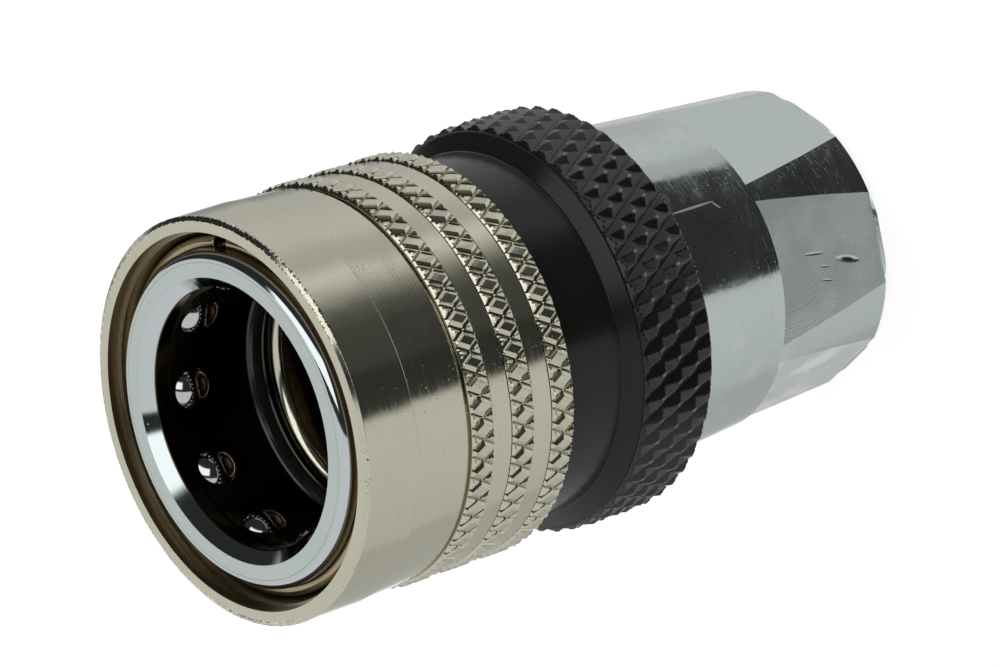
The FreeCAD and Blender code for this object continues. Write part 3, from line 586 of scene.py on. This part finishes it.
# Seals: black rubber O-rings, slightly dusty, with a dull gloss.
# The bore seal is made here as a round ring; the others keep their CAD shape.
rubber = bpy.data.materials.new("rubber")
rubber.use_nodes = True
rubber_tree = rubber.node_tree
rubber_shader = rubber_tree.nodes["Principled BSDF"]
rubber_grain = noise(rubber_tree, 900.0, 6.0)
wire(rubber_tree, mix(rubber_tree, rubber_grain, (0.008, 0.008, 0.009, 1), (0.020, 0.020, 0.021, 1)),
     rubber_shader.inputs["Base Color"])
wire(rubber_tree, calc(rubber_tree, "MULTIPLY_ADD", rubber_grain, 0.12, 0.12), rubber_shader.inputs["Roughness"])
bump(rubber_tree, rubber_shader, 0.2, 0.00003, rubber_grain)
dress(["poppet_seal", "body_seal", "ring_gasket"], rubber)


def wire_ring(name, centre_r, thickness, height, start=0.0, end=360.0, columns=192):
    """Ring of round wire in mm; an open one gets closed, softened ends."""
    whole = end - start >= 360.0
    angles = np.radians(np.linspace(start, end, columns, endpoint=not whole))
    end_turns = np.radians([0.0, 0.12, 0.35, 0.7])
    end_sizes = [0.72, 0.9, 0.98, 1.0]
    if not whole:
        angles = np.concatenate((angles[0] + end_turns, angles[3:-3], angles[-1] - end_turns[::-1]))
    shrink = np.ones(len(angles))
    if not whole:
        shrink[:4], shrink[-4:] = end_sizes, end_sizes[::-1]
    around = 24
    section = np.arange(around) * 2 * math.pi / around
    grid = np.empty((len(angles), around, 3))
    reach = centre_r + thickness / 2 * shrink[:, None] * np.cos(section)
    grid[..., 0] = reach * np.cos(angles)[:, None]
    grid[..., 1] = reach * np.sin(angles)[:, None]
    grid[..., 2] = height + thickness / 2 * shrink[:, None] * np.sin(section)
    return skin(name, grid, closed_rows=whole, caps=not whole)


seal = wire_ring("bore_seal_rubber", 12.67, 2.6, 54.17)
seal.data.materials.append(rubber)
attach(seal, "body")
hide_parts("bore_seal")

# Seal retainer: a thin turned ring, plated with bright nickel.
# It lies on the front of the rear body and holds the bore seal from behind.
nickel = metal("nickel", (0.512, 0.503, 0.398), 0.13, marks=0.20, marks_height=0.3, along=5200.0, around=90.0,
               haze=0.06, pit_share=0.3)[0]
retainer_lip = [(11.55 - math.cos(math.radians(angle)), 51.84 + math.sin(math.radians(angle)))
                for angle in range(0, 91, 10)]
retainer = turned("seal_retainer_metal", [*retainer_lip, (13.97, 52.84), (13.97, 51.44), (10.55, 51.44)])
retainer.data.materials.append(nickel)
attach(retainer, "body")
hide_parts("seal_retainer")

# Lock balls: ten polished balls of bearing steel.
# They lie loose in the holes of the cage and move outwards with the sleeve.
chrome = metal("ball_chrome", (0.50, 0.50, 0.485), 0.10, marks=0.02, marks_height=0.02, haze=0.04,
               pit_share=0.05, pit_height=0.1)[0]
ball_r = 2.38
ball_turn = 13.07
ball_height = 61.6
ball_rows = 31
ball_columns = 48
tilts = np.linspace(-math.pi / 2, math.pi / 2, ball_rows + 2)[1:-1]
turns = np.arange(ball_columns) * 2 * math.pi / ball_columns
for number in range(10):
    turn_angle = math.radians(10 + 36 * number)
    centre = np.array((ball_turn * math.cos(turn_angle), ball_turn * math.sin(turn_angle), ball_height))
    grid = np.empty((ball_rows, ball_columns, 3))
    grid[..., 0] = centre[0] + ball_r * np.cos(tilts)[:, None] * np.cos(turns)
    grid[..., 1] = centre[1] + ball_r * np.cos(tilts)[:, None] * np.sin(turns)
    grid[..., 2] = centre[2] + ball_r * np.sin(tilts)[:, None]
    ball_name = f"ball_{number + 1:02d}"
    ball = skin(f"{ball_name}_chrome", grid, closed_rows=False, caps=True)
    ball.data.materials.append(chrome)
    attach(ball, ball_name)
    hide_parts(ball_name)

# Stop ring: an open ring of drawn wire, browned by heat.
# It sits in the cage's front groove, ahead of the balls, and stops the sleeve.
bronze = metal("browned_wire", (0.36, 0.30, 0.20), 0.25, along=2500.0, marks_height=0.2, pit_share=0.15)[0]
stop = wire_ring("stop_ring_wire", 15.72, 1.4, 64.5, start=358.0, end=712.0, columns=200)
stop.data.materials.append(bronze)
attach(stop, "body")
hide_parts("stop_ring")

# Pull sleeve: nickel-plated steel with a smooth front and two polished bands.
# Three rolled knurls of flat diamonds stand between them for grip.
sleeve_outline = softened([
    (17.19, 66.9, 0.04), (18.18, 66.9, 0.03), (18.6, 66.68, 0.05), (18.6, 61.16, 0.02), (18.57, 61.10, 0.02),
    (18.26, 55.25, 0.2), (18.1, 54.90, 0.06), (17.95, 54.79, 0.02), (17.95, 52.30, 0.02), (18.33, 52.28, 0.08),
    (18.35, 50.20, 0.1), (17.95, 50.13, 0.02), (17.95, 47.63, 0.02), (18.33, 47.61, 0.08), (18.35, 45.54, 0.1),
    (17.95, 45.47, 0.02), (17.95, 42.84, 0.06), (17.3, 42.84, 0.1), (17.3, 57.9, 0.03), (15.48, 57.9, 0.1),
    (15.48, 61.23, 0.3), (16.88, 65.6, 0.03), (17.19, 65.6, 0.03)])
sleeve_nickel, sleeve_tree, sleeve_shader, sleeve_relief = metal(
    "sleeve_nickel", (0.512, 0.503, 0.398), 0.12, marks=0.20, marks_height=0.3, along=5200.0, around=90.0,
    haze=0.06, pit_share=0.14, pit_height=1.0)
sleeve_out, sleeve_z = place(sleeve_tree)
lip_noise = noise(sleeve_tree, 3800.0, 4.0)
lip_patches = noise(sleeve_tree, 170.0, 2.0)
# The plating is worn off in small specks on the lip's front
lip_worn = calc(sleeve_tree, "MULTIPLY", ease(sleeve_tree, calc(
    sleeve_tree, "MULTIPLY_ADD", lip_patches, 0.5, lip_noise), 0.93, 0.98),
    ease(sleeve_tree, sleeve_out, 18.05, 18.2), ease(sleeve_tree, sleeve_z, 66.45, 66.65))
blend(sleeve_tree, sleeve_shader, lip_worn, (0.07, 0.065, 0.05), 0.35)
# Both corners of the lip's outer chamfer are nicked: dark specks, and bright specks that are painted glints, in a fine
# broken line
lip_nicks_and_glints = calc(sleeve_tree, "MAXIMUM", *[
    ease(sleeve_tree, apart(sleeve_tree, sleeve_out, corner_r), 0.10, 0.03) for corner_r in (18.20, 18.56)])
# One side of the lip has kept its corners
kept_angle = -2.1
lip_kept = calc(sleeve_tree, "DIVIDE", toward(sleeve_tree, kept_angle), sleeve_out)
lip_nicks_and_glints = calc(sleeve_tree, "MULTIPLY", lip_nicks_and_glints, ease(sleeve_tree, sleeve_z, 66.40, 66.60),
                  ease(sleeve_tree, lip_kept, 0.80, 0.45))
blend(sleeve_tree, sleeve_shader, calc(sleeve_tree, "MULTIPLY", lip_nicks_and_glints, ease(
    sleeve_tree, lip_noise, 0.50, 0.56)), (0.06, 0.055, 0.04), 0.30)
# Painted glints: bright specks on the nicked corners
blend(sleeve_tree, sleeve_shader, calc(sleeve_tree, "MULTIPLY", lip_nicks_and_glints, ease(
    sleeve_tree, lip_noise, 0.46, 0.40)), (0.95, 0.93, 0.85), 0.45)
# Soft clouds bend the reflections
lift(sleeve_tree, sleeve_relief, lip_patches, 5.0)
# Painted reflection: the inside of the front recess is painted brown, for the browned stop ring wire that it reflects
recess = metal("recess_steel", (0.30, 0.255, 0.18), 0.28, marks=0.10, pit_share=0.1)[0]
recess_r = 17.22
recess_top = 66.86
sleeve = turned("sleeve_metal", sleeve_outline, columns=288)
sleeve.data.materials.append(sleeve_nickel)
sleeve.data.materials.append(recess)
for face in sleeve.data.polygons:
    if math.hypot(face.center.x, face.center.y) < recess_r * mm and face.center.z < recess_top * mm:
        face.material_index = 1
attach(sleeve, "sleeve")
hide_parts("sleeve")

# The knurl tree lays a ring of rows of points, each row half a column on from
# the last, so that both families of grooves run along edges of the mesh.
knurl = bpy.data.node_groups.new("diamond_knurl", "GeometryNodeTree")
for label, kind in (("Teeth", "Int"), ("Columns per Tooth", "Int"), ("Rows", "Int"), ("Centre Row", "Int"),
                    ("Bands", "Int"), ("Band Step", "Float"), ("Rear", "Float"), ("Lead", "Float"),
                    ("Root Radius", "Float"), ("Back Radius", "Float"), ("Depth", "Float"),
                    ("Groove Width", "Float"), ("Cross Groove Width", "Float"), ("Cross Share", "Float"),
                    ("Curve", "Float"), ("Edge Rows", "Float"), ("Unevenness", "Float"), ("Metal", "Material")):
    knurl.interface.new_socket(label, in_out="INPUT", socket_type=f"NodeSocket{kind}")
knurl.interface.new_socket("Geometry", in_out="OUTPUT", socket_type="NodeSocketGeometry")
knurl_in = node(knurl, "NodeGroupInput").outputs
columns = calc(knurl, "MULTIPLY", knurl_in["Teeth"], knurl_in["Columns per Tooth"])
row_span = calc(knurl, "ADD", knurl_in["Rows"], 2.0)
net = filled(knurl, "GeometryNodeMeshGrid", {
    "Size X": 1.0, "Size Y": 1.0, "Vertices X": calc(knurl, "ADD", columns, 1.0),
    "Vertices Y": calc(knurl, "ADD", row_span, 1.0)})
net_x, net_y, _, _ = parts_of(knurl, node(knurl, "GeometryNodeInputPosition").outputs[0])
net_column = calc(knurl, "ROUND", calc(knurl, "MULTIPLY", calc(knurl, "ADD", net_x, 0.5), columns))
net_row = calc(knurl, "ROUND", calc(knurl, "MULTIPLY", calc(knurl, "ADD", net_y, 0.5), row_span))
at_back = calc(knurl, "MAXIMUM", calc(knurl, "LESS_THAN", net_row, 0.5),
               calc(knurl, "GREATER_THAN", net_row, calc(knurl, "ADD", knurl_in["Rows"], 0.5)))
outside = calc(knurl, "SUBTRACT", 1.0, at_back)
last_row = calc(knurl, "SUBTRACT", knurl_in["Rows"], 1.0)
wrapped = calc(knurl, "LESS_THAN", net_row, calc(knurl, "ADD", knurl_in["Rows"], 1.5))
row = calc(knurl, "MULTIPLY", wrapped, calc(knurl, "MINIMUM", calc(
    knurl, "MAXIMUM", calc(knurl, "SUBTRACT", net_row, 1.0), 0.0), last_row))
centred = calc(knurl, "SUBTRACT", row, knurl_in["Centre Row"])
odd = calc(knurl, "MULTIPLY", calc(knurl, "FLOORED_MODULO", centred, 2.0), outside)
column = calc(knurl, "ADD", net_column, calc(knurl, "MULTIPLY", odd, 0.5))
theta = calc(knurl, "DIVIDE", calc(knurl, "MULTIPLY", column, 2 * math.pi), columns)
half_lead = calc(knurl, "DIVIDE", calc(knurl, "MULTIPLY", centred, 0.5), knurl_in["Columns per Tooth"])
level = calc(knurl, "MULTIPLY_ADD", calc(knurl, "DIVIDE", calc(knurl, "MULTIPLY", row, 0.5),
                                         knurl_in["Columns per Tooth"]), knurl_in["Lead"], knurl_in["Rear"])
tooth = calc(knurl, "DIVIDE", column, knurl_in["Columns per Tooth"])


def groove(way, width):
    """0 in the groove and 1 on the flat, for a count of teeth along one helix."""
    off = apart(knurl, way, calc(knurl, "ROUND", way))
    return calc(knurl, "POWER", calc(knurl, "MINIMUM", calc(knurl, "DIVIDE", off, width), 1.0), knurl_in["Curve"])


main_groove = groove(calc(knurl, "ADD", tooth, half_lead), knurl_in["Groove Width"])
cross_groove = groove(calc(knurl, "SUBTRACT", tooth, half_lead), knurl_in["Cross Groove Width"])
cross_height = calc(knurl, "SUBTRACT", 1.0, calc(knurl, "MULTIPLY", calc(knurl, "SUBTRACT", 1.0, cross_groove),
                                                 knurl_in["Cross Share"]))
to_edge = calc(knurl, "DIVIDE", calc(knurl, "MINIMUM", row, calc(knurl, "SUBTRACT", last_row, row)),
               knurl_in["Edge Rows"])
crest = calc(knurl, "MINIMUM", main_groove, cross_height, to_edge, 1.0)
cosine = calc(knurl, "COSINE", theta)
sine = calc(knurl, "SINE", theta)
# The teeth are uneven by soft noise over the knurl, about 19 mm from the axis
uneven_r = 19.0
uneven_spot = out_of(knurl, "ShaderNodeCombineXYZ", calc(knurl, "MULTIPLY", cosine, uneven_r),
                     calc(knurl, "MULTIPLY", sine, uneven_r), calc(knurl, "MULTIPLY", level, 1 / mm))
uneven = calc(knurl, "MULTIPLY", noise(knurl, 0.8, 2.0, uneven_spot), knurl_in["Unevenness"])
raised = calc(knurl, "MULTIPLY", crest, calc(knurl, "SUBTRACT", 1.0, uneven))
reach = calc(knurl, "MULTIPLY_ADD", raised, knurl_in["Depth"], knurl_in["Root Radius"])
reach = calc(knurl, "ADD", calc(knurl, "MULTIPLY", reach, outside),
             calc(knurl, "MULTIPLY", knurl_in["Back Radius"], at_back))
spread = out_of(knurl, "ShaderNodeCombineXYZ", calc(knurl, "MULTIPLY", cosine, reach),
                calc(knurl, "MULTIPLY", sine, reach), level)
# Shift odd rows on the flat net first, so that its short diagonals are the groove lines
shift = out_of(knurl, "ShaderNodeCombineXYZ", calc(knurl, "DIVIDE", calc(knurl, "MULTIPLY", odd, 0.5), columns))


def stored(mesh, label, kind, content):
    """The mesh with a value kept on its points under a name."""
    return filled(knurl, "GeometryNodeStoreNamedAttribute", {"Geometry": mesh, "Name": label, "Value": content},
                  data_type=kind, domain="POINT").outputs[0]


marked = stored(net.outputs["Mesh"], "crest", "FLOAT", calc(knurl, "MULTIPLY", crest, outside))
marked = stored(marked, "spread", "FLOAT_VECTOR", spread)
stagger = filled(knurl, "GeometryNodeSetPosition", {"Geometry": marked, "Offset": shift}).outputs[0]
split = out_of(knurl, "GeometryNodeTriangulate", stagger, quad_method="SHORTEST_DIAGONAL")
read_spread = filled(knurl, "GeometryNodeInputNamedAttribute", {"Name": "spread"}, data_type="FLOAT_VECTOR").outputs[0]
rolled = filled(knurl, "GeometryNodeSetPosition", {"Geometry": split, "Position": read_spread}).outputs[0]
seam_gap = 0.004 * mm
joined = filled(knurl, "GeometryNodeMergeByDistance", {"Geometry": rolled, "Distance": seam_gap}).outputs[0]
band_way = out_of(knurl, "ShaderNodeCombineXYZ", 0.0, 0.0, knurl_in["Band Step"])
band_row = filled(knurl, "GeometryNodeMeshLine", {"Count": knurl_in["Bands"], "Offset": band_way}).outputs[0]
bands = filled(knurl, "GeometryNodeInstanceOnPoints", {"Points": band_row, "Instance": joined}).outputs[0]
real = out_of(knurl, "GeometryNodeRealizeInstances", bands)
finish = filled(knurl, "GeometryNodeSetMaterial", {"Geometry": real, "Material": knurl_in["Metal"]})
wire(knurl, finish.outputs[0], node(knurl, "NodeGroupOutput").inputs[0])


def knurled(name, **sizes):
    """Plain mesh from the knurl tree; sizes are its inputs, spelt with underscores."""
    blank = bpy.data.objects.new(f"{name}_blank", bpy.data.meshes.new(f"{name}_blank"))
    bpy.context.scene.collection.objects.link(blank)
    roller = blank.modifiers.new("knurl", "NODES")
    roller.node_group = knurl
    for item in knurl.interface.items_tree:
        key = item.name.replace(" ", "_").lower()
        if item.in_out == "INPUT":
            roller[item.identifier] = sizes[key]
    bpy.context.view_layer.update()
    mesh = bpy.data.meshes.new_from_object(blank.evaluated_get(bpy.context.evaluated_depsgraph_get()))
    mesh.name = name
    bpy.data.objects.remove(blank)
    mesh.attributes.remove(mesh.attributes["spread"])
    corners = np.empty(len(mesh.vertices) * 3)
    mesh.vertices.foreach_get("co", corners)
    corners = corners.reshape(-1, 3)
    mesh.calc_loop_triangles()
    sides = np.empty(len(mesh.loop_triangles) * 3, int)
    mesh.loop_triangles.foreach_get("vertices", sides)
    sides = sides.reshape(-1, 3)
    if np.einsum("ij,ij->", corners[sides[:, 0]], np.cross(corners[sides[:, 1]], corners[sides[:, 2]])) < 0:
        mesh.flip_normals()
    made = bpy.data.objects.new(name, mesh)
    bpy.context.scene.collection.objects.link(made)
    return made


sleeve_knurls = knurled(
    "sleeve_knurls", teeth=58, columns_per_tooth=14, rows=21, centre_row=10, bands=3, band_step=4.667 * mm,
    rear=(42.84 + 0.13) * mm, lead=3.46 * mm, root_radius=18.30 * mm, back_radius=17.8 * mm, depth=0.40 * mm,
    groove_width=3 / 14, cross_groove_width=4 / 14, cross_share=1.0, curve=0.55, edge_rows=2.0, unevenness=0.10,
    metal=nickel)
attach(sleeve_knurls, "sleeve")

# Lock ring: blacked steel, screwed on the socket, with a coarse sharp knurl.
# Its smooth collar reaches under the sleeve; the knurl's tips are worn bright.
black = metal("black_steel", (0.010, 0.010, 0.009), 0.20, metallic=0.0, marks=0.10, marks_height=0.25, haze=0.12,
              pit_share=0.2, specular=0.23)[0]
ring = turned("lock_ring_metal", softened([
    (16.55, 26.5, 0.08), (18.5, 26.5, 0.1), (18.55, 26.85, 0.1), (18.55, 34.5, 0.05), (18.43, 34.85, 0.08),
    (16.9, 35.9, 0.25), (16.9, 43.9, 0.12), (16.15, 43.9, 0.1), (16.15, 37.53, 0.03), (15.95, 37.53, 0.03),
    (15.95, 33.46, 0.03), (17.56, 33.46, 0.03), (17.56, 31.8, 0.03), (15.95, 31.8, 0.03), (15.95, 30.03, 0.03),
    (16.55, 30.03, 0.03)]), columns=288)
ring.data.materials.append(black)
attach(ring, "lock_ring")
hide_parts("lock_ring")
knurl_black, knurl_tree, knurl_shader, _ = metal(
    "knurled_black", (0.006, 0.006, 0.0055), 0.27, metallic=0.0, marks=0.05, marks_height=0.1, haze=0.2,
    pit_share=0.3, specular=0.4)
crest_mark = node(knurl_tree, "ShaderNodeAttribute", attribute_name="crest").outputs["Fac"]
crest_worn = calc(knurl_tree, "MULTIPLY", calc(
    knurl_tree, "MAXIMUM", calc(knurl_tree, "MULTIPLY_ADD", crest_mark, 5.0, -4.0), 0.0),
    noise(knurl_tree, 900.0, 2.0))
wire(knurl_tree, crest_worn, knurl_shader.inputs["Metallic"])
blend(knurl_tree, knurl_shader, crest_worn, (0.60, 0.60, 0.57))
ring_knurl = knurled(
    "ring_knurl", teeth=52, columns_per_tooth=12, rows=50, centre_row=25, bands=1, band_step=0.0,
    rear=26.6 * mm, lead=3.98 * mm, root_radius=18.57 * mm, back_radius=18.1 * mm, depth=0.63 * mm,
    groove_width=0.5, cross_groove_width=0.5, cross_share=0.70, curve=1.0, edge_rows=3.0, unevenness=0.10,
    metal=knurl_black)
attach(ring_knurl, "lock_ring")
